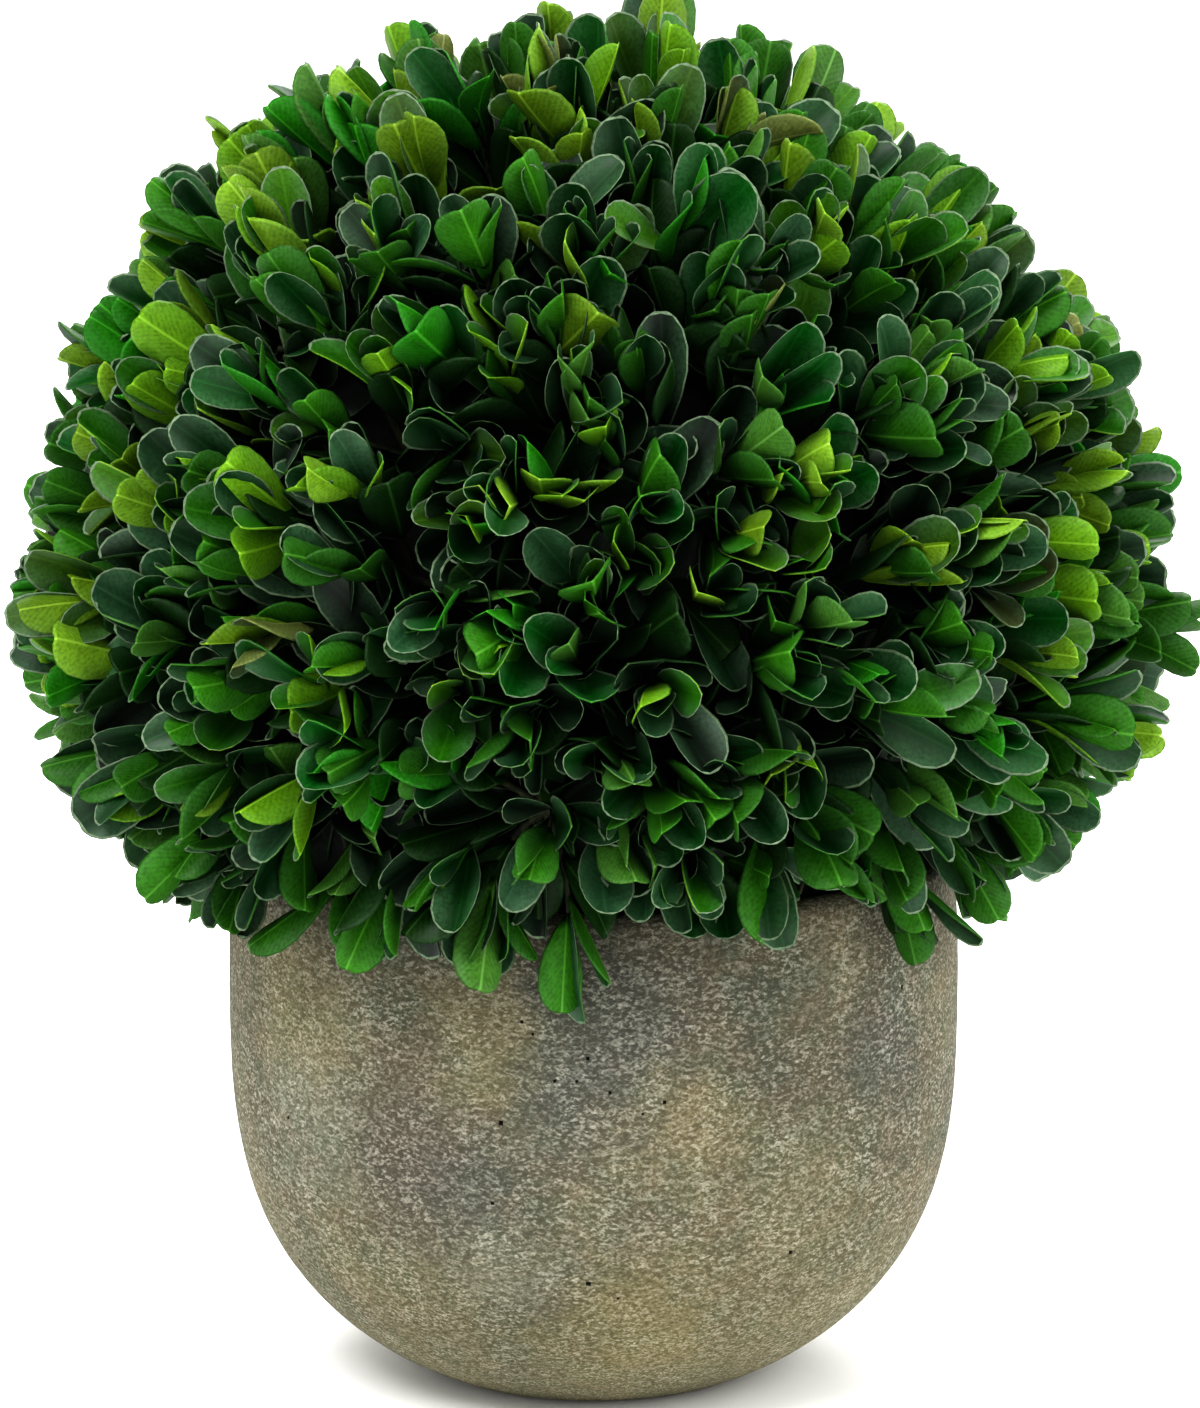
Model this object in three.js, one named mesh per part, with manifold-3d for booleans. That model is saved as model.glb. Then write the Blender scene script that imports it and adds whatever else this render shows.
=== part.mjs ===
// A table-top box ball in a bowl-shaped stone pot: the pot, what fills it, a short stem, and the
// clipped ball of foliage, each a separate solid. Millimetres, +Z up, origin under the pot's foot.
import * as THREE from "three";
import { mergeVertices } from "three/addons/utils/BufferGeometryUtils.js";
import Module from "manifold-3d";

const wasm = await Module();
wasm.setup();

// Driving dimensions.
const POT_RADIUS = 70; // outside, at the belly
const POT_HEIGHT = 102;
const BELLY_HEIGHT = 80; // where the pot is widest
const FOOT_RADIUS = 28; // the flat underside
const RIM_RADIUS = 68.5; // outside, at the top
const WALL = 8;
const BOWL_FULLNESS = 3.4; // how soon the bowl swells out above its foot
const BOWL_ROUNDNESS = 1.3; // how round it turns from the foot into the side
const CORE_RADIUS = 76; // the ball that the twigs stand in
const CROWN_RADIUS = 110; // the usual reach of the leaf tips from the ball's centre
const FILL_DEPTH = 40; // from the rim down to the top of the fill
const FILL_HEAP = 2; // how much higher the fill is in the middle
const FILL_CLEARANCE = 0.9; // from the fill's side to the wall
const STEM_RADIUS = 7;
const STEM_FLARE = 3.5; // how much wider the stem's foot is
const TWIG_COUNT = 116;
const LEAF_LENGTH = 27;
const LEAF_WIDTH = 17;

// What follows from them.
const GAP = 0.3; // between touching solids
const RIM_INSIDE = RIM_RADIUS - WALL;
const BALL_HEIGHT = POT_HEIGHT + Math.sqrt(CORE_RADIUS ** 2 - RIM_INSIDE ** 2) + GAP;
const FILL_TOP = POT_HEIGHT - FILL_DEPTH;
const GROUND = FILL_TOP + FILL_HEAP + GAP; // the stem's flat foot
const CORE_UNDERSIDE = POT_HEIGHT - 14; // the ball is cut flat a little below the rim
const STEM_JOINT = CORE_UNDERSIDE - 4; // where the stem meets the stub under the ball

// How round each solid is.
const POT_SIDES = 44;
const CORE_SIDES = 20;
const STEM_SIDES = 14;

// How the crown grows. Angles are measured down from the ball's top.
const { degToRad } = THREE.MathUtils;
const GOLDEN_ANGLE = Math.PI * (3 - Math.sqrt(5));
const LOWEST_TWIG = degToRad(119);
const DROOP_FROM = degToRad(96); // twigs below this angle hang over the rim
const DROOP_TURN = degToRad(30);
const SKIRT_SHORTER = 9; // how much nearer the tips of the lowest twigs are
const TWIG_TILT = degToRad(7);
const TWIG_WANDER = 0.12; // how far a twig strays round the ball from its even place
const TWIG_ROOT = 7; // how far a twig is sunk into the core
const TWIG_RADIUS = 1.9;
const TWIG_TAPER = 0.75;
const REACH_SPREAD = 5; // twigs end this much nearer or further
const PAIRS = [
  { along: 0.3, angle: 52, size: 1.0 },
  { along: 0.88, angle: 30, size: 0.92 },
];
const LEAF_ROOT = 0.4; // a leaf starts this far past the middle of its twig
const LEAF_BELLY = 0.66; // the widest place, as a share of the leaf's length
const LEAF_THICKNESS = 0.9;
const LEAF_CUP = 2.6;
const LEAF_SPREAD = 8; // degrees that a leaf leans more or less than its pair's angle
const LEAF_TWIST = 0.1; // how far a leaf strays round its twig
const LEANS = [1, 0.8, 0.6]; // a leaf that would cross another leans in this much
const POT_CLEARANCE = 1.2; // a leaf nearer to the pot than this is left out
const SHORTEST_EDGE = 0.2; // shorter edges are closed up after the leaves are fused on

// A number from -1 to 1 that depends only on the twig and on what is asked of it.
function chance(twig, question) {
  const mixed = Math.sin(twig * 12.9898 + question * 78.233 + 4.1) * 43758.5453;
  return 2 * (mixed - Math.floor(mixed)) - 1;
}

function solidOf(geometry) {
  const bare = geometry.clone();
  bare.deleteAttribute("normal");
  bare.deleteAttribute("uv");
  const merged = mergeVertices(bare, 1e-4);
  return new wasm.Manifold(
    new wasm.Mesh({
      numProp: 3,
      vertProperties: new Float32Array(merged.attributes.position.array),
      triVerts: new Uint32Array(merged.index.array),
    }),
  );
}

function geometryOf(solid) {
  const mesh = solid.getMesh();
  const geometry = new THREE.BufferGeometry();
  geometry.setAttribute("position", new THREE.BufferAttribute(mesh.vertProperties, 3));
  geometry.setIndex(new THREE.BufferAttribute(mesh.triVerts, 1));
  return geometry;
}

// A profile of [radius, height] points turned about the Z axis.
function turned(profile, sides) {
  const points = profile.map(([radius, height]) => new THREE.Vector2(radius, height));
  return new THREE.LatheGeometry(points, sides).rotateX(Math.PI / 2);
}

// The pot's outside radius: a full bowl that rises from its foot to the belly and closes a little
// towards the rim.
function potRadiusAt(height) {
  if (height <= BELLY_HEIGHT) {
    const fall = 1 - height / BELLY_HEIGHT;
    return FOOT_RADIUS + (POT_RADIUS - FOOT_RADIUS) * (1 - fall ** BOWL_FULLNESS) ** (1 / BOWL_ROUNDNESS);
  }
  const rise = (height - BELLY_HEIGHT) / (POT_HEIGHT - BELLY_HEIGHT);
  return POT_RADIUS - (POT_RADIUS - RIM_RADIUS) * rise ** 2;
}

// The inside follows the outside, a wall's thickness in.
function potInsideAt(height) {
  const share = (height - WALL) / (POT_HEIGHT - WALL);
  return potRadiusAt(share * POT_HEIGHT) - WALL;
}

// Heights that lie closer together near the foot, where the wall turns fastest.
function bowlHeights(lowest, highest, steps) {
  return Array.from({ length: steps + 1 }, (_, step) => lowest + (highest - lowest) * (step / steps) ** 1.7);
}

function potGeometry() {
  const rimRise = WALL / 4; // the rim is a flattened half round
  const rimFoot = POT_HEIGHT - rimRise;
  const rimMiddle = (RIM_RADIUS + RIM_INSIDE) / 2;
  const outside = bowlHeights(0, rimFoot, 12).map((height) => [potRadiusAt(height), height]);
  const rim = [45, 90, 135].map((turn) => {
    const angle = degToRad(turn);
    return [rimMiddle + (WALL / 2) * Math.cos(angle), rimFoot + rimRise * Math.sin(angle)];
  });
  const inside = bowlHeights(WALL, rimFoot, 7).map((height) => [potInsideAt(height), height]);
  return turned([[0, 0], ...outside, ...rim, ...inside.reverse(), [0, WALL]], POT_SIDES);
}

function fillGeometry() {
  const side = bowlHeights(WALL + GAP, FILL_TOP, 6).map((height) => {
    return [potInsideAt(height - GAP) - FILL_CLEARANCE, height];
  });
  const flatTop = (STEM_RADIUS + STEM_FLARE) * 1.5; // what the stem stands on
  const top = [[flatTop, FILL_TOP + FILL_HEAP], [0, FILL_TOP + FILL_HEAP]];
  return turned([[0, WALL + GAP], ...side, ...top], POT_SIDES);
}

// The stem flares at its foot and tapers upwards.
function stemRadiusAt(height) {
  const above = height - GROUND;
  return STEM_RADIUS - 0.05 * above + STEM_FLARE * Math.exp(-above / 3);
}

function stemGeometry(bottom, top) {
  const side = [0, 0.12, 0.3, 1].map((share) => {
    const height = bottom + (top - bottom) * share;
    return [stemRadiusAt(height), height];
  });
  return turned([[0, bottom], ...side, [0, top]], STEM_SIDES);
}

// The ball that the twigs stand in, with a stub of the stem under it.
function coreSolid() {
  const cutAngle = Math.acos((CORE_UNDERSIDE - BALL_HEIGHT) / CORE_RADIUS);
  const steps = 11;
  const arc = Array.from({ length: steps }, (_, step) => {
    const angle = cutAngle * (1 - step / steps);
    return [CORE_RADIUS * Math.sin(angle), BALL_HEIGHT + CORE_RADIUS * Math.cos(angle)];
  });
  const ball = solidOf(turned([[0, CORE_UNDERSIDE], ...arc, [0, BALL_HEIGHT + CORE_RADIUS]], CORE_SIDES));
  return ball.add(solidOf(stemGeometry(STEM_JOINT, CORE_UNDERSIDE + TWIG_ROOT)));
}

// The direction that is an angle down from straight up, and another round the Z axis.
function pointing(down, around) {
  return new THREE.Vector3(Math.sin(down) * Math.cos(around), Math.sin(down) * Math.sin(around), Math.cos(down));
}

// Where twig number i leaves the core, which way it grows, and how long it is. Twigs are spread
// evenly over the ball, and the low ones droop over the pot's rim.
function twigRule(i) {
  const down = Math.acos(1 - (1 - Math.cos(LOWEST_TWIG)) * ((i + 0.5) / TWIG_COUNT));
  const around = i * GOLDEN_ANGLE + TWIG_WANDER * chance(i, 1);
  const hang = THREE.MathUtils.clamp((down - DROOP_FROM) / (LOWEST_TWIG - DROOP_FROM), 0, 1);
  const foot = pointing(down, around).multiplyScalar(CORE_RADIUS);
  foot.z += BALL_HEIGHT;
  const heading = pointing(
    down + hang * DROOP_TURN + (1 - hang) * TWIG_TILT * chance(i, 2),
    around + TWIG_TILT * chance(i, 3),
  );
  const reach = CROWN_RADIUS - CORE_RADIUS + REACH_SPREAD * chance(i, 4) - SKIRT_SHORTER * hang;
  const topPair = PAIRS.at(-1);
  const topRise = LEAF_LENGTH * topPair.size * Math.cos(degToRad(topPair.angle));
  const across = new THREE.Vector3(0, 0, 1).cross(heading).normalize();
  across.applyAxisAngle(heading, Math.PI * chance(i, 5));
  return { number: i, foot, heading, across, length: (reach - topRise) / topPair.along };
}

// A geometry that grows along +Z from the origin, set to grow along `along` from `root`.
function placed(geometry, side, hollow, along, root) {
  return geometry.applyMatrix4(new THREE.Matrix4().makeBasis(side, hollow, along).setPosition(root));
}

function twigGeometry({ foot, heading, across, length }) {
  const whole = TWIG_ROOT + length;
  const stalk = new THREE.CylinderGeometry(TWIG_RADIUS * TWIG_TAPER, TWIG_RADIUS, whole, 3)
    .rotateX(Math.PI / 2)
    .translate(0, 0, whole / 2 - TWIG_ROOT);
  return placed(stalk, across, heading.clone().cross(across), heading, foot);
}

// One leaf: it grows along +Z from its root, with its hollow side towards +Y. Its outline is a
// kite, widest well past the middle.
function leafGeometry(size) {
  const length = LEAF_LENGTH * size;
  const half = (LEAF_WIDTH * size) / 2;
  const root = [0, 0, LEAF_ROOT];
  const right = [half, 0, length * LEAF_BELLY];
  const tip = [0, 0, length];
  const left = [-half, 0, length * LEAF_BELLY];
  const hollow = [0, -LEAF_CUP, length * LEAF_BELLY];
  const back = [0, -LEAF_CUP - LEAF_THICKNESS, length * LEAF_BELLY];
  const rim = [root, right, tip, left];
  const corners = rim.flatMap((corner, side) => {
    const next = rim[(side + 1) % rim.length];
    return [hollow, next, corner, back, corner, next];
  });
  const geometry = new THREE.BufferGeometry();
  return geometry.setAttribute("position", new THREE.Float32BufferAttribute(corners.flat(), 3));
}

// A leaf of a twig, each pair turned a quarter round from the last.
function leafOn(twig, level, side, lean) {
  const { number, foot, heading, across, length } = twig;
  const pair = PAIRS[level];
  const question = 10 + 4 * level + 2 * side;
  const spin = level * (Math.PI / 2) + side * Math.PI + LEAF_TWIST * chance(number, question);
  const angle = degToRad(pair.angle * lean + LEAF_SPREAD * chance(number, question + 1));
  const outward = across.clone().applyAxisAngle(heading, spin);
  const along = heading.clone().multiplyScalar(Math.cos(angle)).addScaledVector(outward, Math.sin(angle));
  const hollow = heading.clone().multiplyScalar(Math.sin(angle)).addScaledVector(outward, -Math.cos(angle));
  const root = foot.clone().addScaledVector(heading, length * pair.along);
  return placed(leafGeometry(pair.size), hollow.clone().cross(along), hollow, along, root);
}

// Whether every point of a geometry lies clear of the pot.
function clearsPot(geometry) {
  const positions = geometry.getAttribute("position");
  return Array.from({ length: positions.count }, (_, i) => i).every((i) => {
    const height = positions.getZ(i);
    if (height > POT_HEIGHT + POT_CLEARANCE) return true;
    return Math.hypot(positions.getX(i), positions.getY(i)) > potRadiusAt(Math.min(height, POT_HEIGHT)) + POT_CLEARANCE;
  });
}

function boxesMeet(a, b) {
  return [0, 1, 2].every((axis) => a.min[axis] <= b.max[axis] && b.min[axis] <= a.max[axis]);
}

// A solid with the twig that it belongs to and its box, so that pieces far apart are passed over.
function pieceOf(geometry, twig) {
  const solid = solidOf(geometry);
  return { twig, solid, box: solid.boundingBox() };
}

function crosses(piece, others) {
  return others.some(
    (other) =>
      other.twig !== piece.twig && boxesMeet(piece.box, other.box) && !other.solid.intersect(piece.solid).isEmpty(),
  );
}

// A leaf that would cross another sprig leans in towards its own twig, or else is left out.
function growLeaf(twig, level, side, grown) {
  for (const lean of LEANS) {
    const geometry = leafOn(twig, level, side, lean);
    const piece = pieceOf(geometry, twig.number);
    if (clearsPot(geometry) && !crosses(piece, grown)) {
      grown.push(piece);
      return;
    }
  }
}

function crownSolid() {
  const twigs = Array.from({ length: TWIG_COUNT }, (_, i) => twigRule(i));
  const grown = twigs.map((twig) => pieceOf(twigGeometry(twig), twig.number));
  for (const level of PAIRS.keys()) {
    for (const twig of twigs) {
      growLeaf(twig, level, 0, grown);
      growLeaf(twig, level, 1, grown);
    }
  }
  const fused = wasm.Manifold.union([coreSolid(), ...grown.map((piece) => piece.solid)]);
  // Edges too short to see are closed up, and a scrap that is left loose is dropped.
  const bodies = fused.asOriginal().simplify(SHORTEST_EDGE).decompose();
  return bodies.sort((a, b) => b.volume() - a.volume())[0];
}

function finish(color, roughness) {
  return new THREE.MeshStandardMaterial({ color, roughness, metalness: 0 });
}

function node(name, geometry, material) {
  const mesh = new THREE.Mesh(geometry, material);
  mesh.name = name;
  return mesh;
}

const stone = finish(0x827e66, 0.92);
const filling = finish(0x2c2419, 1);
const bark = finish(0x5b4a36, 0.9);
const leafGreen = finish(0x1f4a1c, 0.6);

const topiary = new THREE.Group();
topiary.add(node("pot", potGeometry(), stone));
topiary.add(node("pot_fill", fillGeometry(), filling));
topiary.add(node("stem", stemGeometry(GROUND, STEM_JOINT - GAP), bark));
topiary.add(node("foliage_ball", geometryOf(crownSolid()), leafGreen));

export default topiary;
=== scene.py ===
# %% [markdown]
# # A box ball in a stone bowl
#
# This lesson dresses a small table-top topiary: a ball of clipped box sprigs that sits in the mouth
# of a full, bowl-shaped pot of cast stone. A plant like this could be made with particles or with
# instances, but both are lost when a model is exported. So the leaves here are real meshes: a few
# leaf forms are bent from a grid, then copied along twigs that grow by a rule, and the copies are
# joined into a few large pieces.

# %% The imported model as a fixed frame
import math
from collections import namedtuple

import bmesh
import bpy
import numpy as np
from mathutils import Matrix, Vector, noise


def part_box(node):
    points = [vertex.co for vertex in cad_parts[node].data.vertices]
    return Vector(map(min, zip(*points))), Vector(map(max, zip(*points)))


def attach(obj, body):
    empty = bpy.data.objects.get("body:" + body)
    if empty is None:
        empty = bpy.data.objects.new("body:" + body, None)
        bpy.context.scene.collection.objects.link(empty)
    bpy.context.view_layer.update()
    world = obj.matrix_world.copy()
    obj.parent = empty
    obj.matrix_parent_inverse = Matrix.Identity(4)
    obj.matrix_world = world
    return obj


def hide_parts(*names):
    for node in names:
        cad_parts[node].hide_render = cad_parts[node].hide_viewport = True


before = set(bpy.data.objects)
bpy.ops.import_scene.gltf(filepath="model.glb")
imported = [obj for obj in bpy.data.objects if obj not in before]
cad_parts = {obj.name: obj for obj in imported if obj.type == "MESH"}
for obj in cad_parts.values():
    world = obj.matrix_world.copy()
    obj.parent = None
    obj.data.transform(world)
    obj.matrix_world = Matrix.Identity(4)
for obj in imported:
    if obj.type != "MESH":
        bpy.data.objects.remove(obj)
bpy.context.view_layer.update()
MM = 0.001
print("nodes:", sorted(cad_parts))

# %% [markdown]
# ## The camera
#
# The camera stands a little higher than the ball and looks down at the plant's middle. A long lens
# from about a metre away keeps the bowl's sides nearly parallel. The lens follows from how large the
# object should be in the frame, so the distance can be changed without reframing.

# %% Camera
IMAGE_WIDTH = 1200  # pixels
PIXELS_PER_METRE = 5250  # at the pot's axis
CAMERA_DISTANCE = 1.1
CAMERA_RISE = math.radians(10)
CAMERA_TARGET = Vector((1.2 * MM, 0, 129 * MM))

camera_data = bpy.data.cameras.new("camera")
camera_data.sensor_fit = "HORIZONTAL"
camera_data.sensor_width = 36
camera_data.lens = PIXELS_PER_METRE * CAMERA_DISTANCE * camera_data.sensor_width / IMAGE_WIDTH
camera = bpy.data.objects.new("camera", camera_data)
towards_camera = Vector((0, -math.cos(CAMERA_RISE), math.sin(CAMERA_RISE)))
camera.location = CAMERA_TARGET + CAMERA_DISTANCE * towards_camera
camera.rotation_euler = towards_camera.to_track_quat("Z", "Y").to_euler()
bpy.context.scene.collection.objects.link(camera)
bpy.context.scene.camera = camera
print("lens:", round(camera_data.lens, 1), "mm")

# %% [markdown]
# ## Sizes shared with the frame
#
# The bowl's height and width are read from the frame. The rest of its curve, and the rule by which
# the twigs grow, are the ones that the solids were made with, written again here in metres.

# %% Sizes of the bowl and the ball
_, pot_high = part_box("pot")
SOLIDS_GAP = 0.3 * MM  # between solids that rest on each other
POT_HEIGHT = pot_high.z
POT_RADIUS = pot_high.x
BELLY_HEIGHT = 80 * MM
FOOT_RADIUS = 28 * MM
RIM_RADIUS = 68.5 * MM
WALL = 8 * MM
BOWL_FULLNESS = 3.4
BOWL_ROUNDNESS = 1.3
CORE_RADIUS = 76 * MM
CROWN_RADIUS = 110 * MM
CORE_UNDERSIDE = POT_HEIGHT - 14 * MM
BALL_HEIGHT = POT_HEIGHT + math.sqrt(CORE_RADIUS**2 - (RIM_RADIUS - WALL) ** 2) + SOLIDS_GAP
BALL_CENTRE = Vector((0, 0, BALL_HEIGHT))
print("ball's centre at", round(BALL_HEIGHT / MM, 1), "mm")


def pot_radius_at(height):
    """The bowl's outside radius: it swells from its foot to the belly and closes a little above."""
    if height <= BELLY_HEIGHT:
        fall = 1 - max(height, 0) / BELLY_HEIGHT
        swell = (1 - fall**BOWL_FULLNESS) ** (1 / BOWL_ROUNDNESS)
        return FOOT_RADIUS + (POT_RADIUS - FOOT_RADIUS) * swell
    rise = (height - BELLY_HEIGHT) / (POT_HEIGHT - BELLY_HEIGHT)
    return POT_RADIUS - (POT_RADIUS - RIM_RADIUS) * rise**2


# %% [markdown]
# ## Helpers for pieces and finishes
#
# Every piece goes through the same last steps: it becomes an object at the origin, it rides on the
# one body of the frame, and it stands for a node of the frame. Colours are written as they look on
# a screen, from 0 to 255, and turned into the linear numbers that a shader needs.


# %% Pieces
def add_piece(name, mesh, node):
    """Adds a mesh as a piece that stands for a node of the frame."""
    mesh.shade_smooth()
    piece = bpy.data.objects.new(name, mesh)
    bpy.context.scene.collection.objects.link(piece)
    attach(piece, "root")
    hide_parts(node)
    print(name, len(mesh.polygons), "faces")


def mesh_from(bm, name, *materials):
    """A bmesh as a mesh with its materials."""
    mesh = bpy.data.meshes.new(name)
    bm.to_mesh(mesh)
    bm.free()
    for material in materials:
        mesh.materials.append(material)
    return mesh


# %% Colours and shader nodes
BLACK = (0, 0, 0, 1)
WHITE = (1, 1, 1, 1)


def tone(red, green, blue):
    """A colour as seen on a screen, 0 to 255, as linear red, green, blue and alpha."""
    linear = []
    for level in (red, green, blue):
        share = level / 255
        linear.append(share / 12.92 if share <= 0.04045 else ((share + 0.055) / 1.055) ** 2.4)
    return (*linear, 1)


def put(tree, kind, inputs=None, **settings):
    """A node with its settings and inputs. An input is a plain value or another node's output."""
    node = tree.nodes.new(kind)
    for name, value in settings.items():
        setattr(node, name, value)
    for name, value in (inputs or {}).items():
        if isinstance(value, bpy.types.NodeSocket):
            tree.links.new(value, node.inputs[name])
        else:
            node.inputs[name].default_value = value
    return node


def ramp(tree, factor, *stops):
    """A colour ramp with (place, colour) stops."""
    node = put(tree, "ShaderNodeValToRGB", {"Fac": factor})
    elements = node.color_ramp.elements
    while len(elements) < len(stops):
        elements.new(1)
    for element, (place, colour) in zip(elements, stops):
        element.position = place
        element.color = colour
    return node.outputs["Color"]


def mixed(tree, factor, first, second, blend="MIX"):
    """The second colour laid over the first, as far as the factor says."""
    inputs = {0: factor, 6: first, 7: second}  # the sockets that a mix of colours uses
    return put(tree, "ShaderNodeMix", inputs, data_type="RGBA", blend_type=blend).outputs[2]


def computed(tree, operation, *values):
    """Arithmetic on masks and plain values."""
    return put(tree, "ShaderNodeMath", dict(enumerate(values)), operation=operation).outputs[0]


def grain(tree, place, scale, detail=3.0, roughness=0.5, longer=None, lean=0.0):
    """Noise on a place, so many waves to the metre, made longer along axes that lean about Y."""
    if longer:
        inputs = {"Vector": place, "Scale": longer, "Rotation": (0, math.radians(lean), 0)}
        place = put(tree, "ShaderNodeMapping", inputs, vector_type="TEXTURE").outputs[0]
    inputs = {"Vector": place, "Scale": scale, "Detail": detail, "Roughness": roughness}
    return put(tree, "ShaderNodeTexNoise", inputs).outputs["Fac"]


def new_material(name):
    """A material with its node tree, its Principled shader, and Object coordinates to place on."""
    material = bpy.data.materials.new(name)
    material.use_nodes = True
    tree = material.node_tree
    shader = tree.nodes["Principled BSDF"]
    place = tree.nodes.new("ShaderNodeTexCoord").outputs["Object"]
    return material, tree, shader, place


def add_relief(tree, shader, height, strength, distance):
    """A bump of so many metres on the shader's normal."""
    inputs = {"Height": height, "Strength": strength, "Distance": distance}
    bump = put(tree, "ShaderNodeBump", inputs)
    tree.links.new(bump.outputs["Normal"], shader.inputs["Normal"])


# %% [markdown]
# ## Cast stone
#
# The bowl is cast from cement with sand in it and left raw. Close to, it is a dull ground strewn
# with pale dashes about a millimetre long, most of which lie nearly level, as they settled in the
# mould. Further off, patches of slate, straw and pale haze drift through it, yellower towards the
# foot. The dashes follow the bowl round, so their noise is read at a place given by the way round,
# the distance from the axis and the height. The patches are soft spots at named places, with
# edges that noise makes ragged, and slow clouds fill in between them.

# %% Patches in the stone
SLATE = tone(78, 82, 82)
TAUPE = tone(96, 86, 76)
STRAW = tone(146, 138, 98)
HAZE = tone(138, 140, 122)
YELLOW_STRAW = tone(142, 130, 84)
PATCH_RAGGEDNESS = 26 * MM  # how far noise moves the patches' edges
PATCH_HEART = 0.25  # the share of a patch that has its full strength

# Degrees round from the front, millimetres up, millimetres to the edge, strength and tint.
Patch = namedtuple("Patch", "turn height radius strength tint")
PATCHES = [
    Patch(2, 84, 24, 0.6, SLATE),
    Patch(-3, 66, 18, 0.45, SLATE),
    Patch(-23, 50, 22, 0.5, SLATE),
    Patch(-9, 30, 14, 0.45, SLATE),
    Patch(51, 72, 18, 0.35, SLATE),
    Patch(-30, 60, 20, 0.55, TAUPE),
    Patch(-50, 80, 22, 0.4, STRAW),
    Patch(-17, 80, 17, 0.35, STRAW),
    Patch(19, 61.6, 15, 0.25, STRAW),
    Patch(35, 47, 24, 0.2, STRAW),
    Patch(7, 22, 24, 0.4, YELLOW_STRAW),
    Patch(-14, 35, 13, 0.4, HAZE),
    Patch(-50, 58, 20, 0.4, HAZE),
]
MORE_PATCHES = 9  # round the sides and the back, by rule
for number in range(MORE_PATCHES):
    turn = 80 + 200 * (number + 0.5) / MORE_PATCHES
    wander = noise.noise(Vector((number * 2.9, 4.1, 0.7)))
    PATCHES.append(Patch(turn, 54 + 60 * wander, 22, 0.45, (SLATE, STRAW, TAUPE)[number % 3]))
print("patches:", len(PATCHES))


def place_on_bowl(turn, height):
    """The point on the bowl's outside, so many degrees round from the front and so high."""
    around = math.radians(turn - 90)
    radius = pot_radius_at(height * MM)
    return Vector((radius * math.cos(around), radius * math.sin(around), height * MM))


# %% Stone finish
def dashes(tree, place, scale):
    """Short level dashes all round the bowl: two stretched noises that lean both ways."""
    spot = put(tree, "ShaderNodeSeparateXYZ", {"Vector": place}).outputs
    way_round = computed(tree, "ARCTAN2", spot["X"], computed(tree, "MULTIPLY", spot["Y"], -1))
    flat = put(tree, "ShaderNodeCombineXYZ", {"X": spot["X"], "Y": spot["Y"]}).outputs[0]
    from_axis = put(tree, "ShaderNodeVectorMath", {0: flat}, operation="LENGTH").outputs["Value"]
    arc = computed(tree, "MULTIPLY", way_round, POT_RADIUS)
    rolled = put(tree, "ShaderNodeCombineXYZ", {"X": arc, "Y": from_axis, "Z": spot["Z"]}).outputs[0]
    down = grain(tree, rolled, scale, detail=2, roughness=0.6, longer=(2.1, 1, 1), lean=26)
    up = grain(tree, rolled, scale, detail=2, roughness=0.6, longer=(1.8, 1, 1), lean=-34)
    inputs = {"Vector": rolled, "Scale": (2, 1, 1)}
    widened = put(tree, "ShaderNodeMapping", inputs, vector_type="TEXTURE").outputs[0]
    cells = put(tree, "ShaderNodeTexVoronoi", {"Vector": widened, "Scale": scale * 1.1})
    grains = put(tree, "ShaderNodeSeparateXYZ", {"Vector": cells.outputs["Color"]}).outputs["X"]
    streaks = computed(tree, "MULTIPLY", computed(tree, "MAXIMUM", down, up), 0.8)
    return computed(tree, "ADD", streaks, computed(tree, "MULTIPLY", grains, 0.2))


def patched(tree, place, ground):
    """The ground colour with each listed patch laid over it."""
    inputs = {"Vector": place, "Scale": 75, "Detail": 5, "Roughness": 0.65}
    ragged = put(tree, "ShaderNodeTexNoise", inputs).outputs["Color"]
    middle = (0.5, 0.5, 0.5)
    shift = put(tree, "ShaderNodeVectorMath", {0: ragged, 1: middle}, operation="SUBTRACT").outputs[0]
    inputs = {0: shift, "Scale": PATCH_RAGGEDNESS}
    shift = put(tree, "ShaderNodeVectorMath", inputs, operation="SCALE").outputs[0]
    moved = put(tree, "ShaderNodeVectorMath", {0: place, 1: shift}, operation="ADD").outputs[0]
    for patch in PATCHES:
        inputs = {0: moved, 1: place_on_bowl(patch.turn, patch.height)}
        distance = put(tree, "ShaderNodeVectorMath", inputs, operation="DISTANCE").outputs["Value"]
        fading = {
            "Value": distance,
            "From Min": patch.radius * MM,
            "From Max": PATCH_HEART * patch.radius * MM,
            "To Max": patch.strength,
        }
        near = put(tree, "ShaderNodeMapRange", fading, interpolation_type="SMOOTHSTEP").outputs["Result"]
        ground = mixed(tree, near, ground, patch.tint)
    return ground


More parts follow.
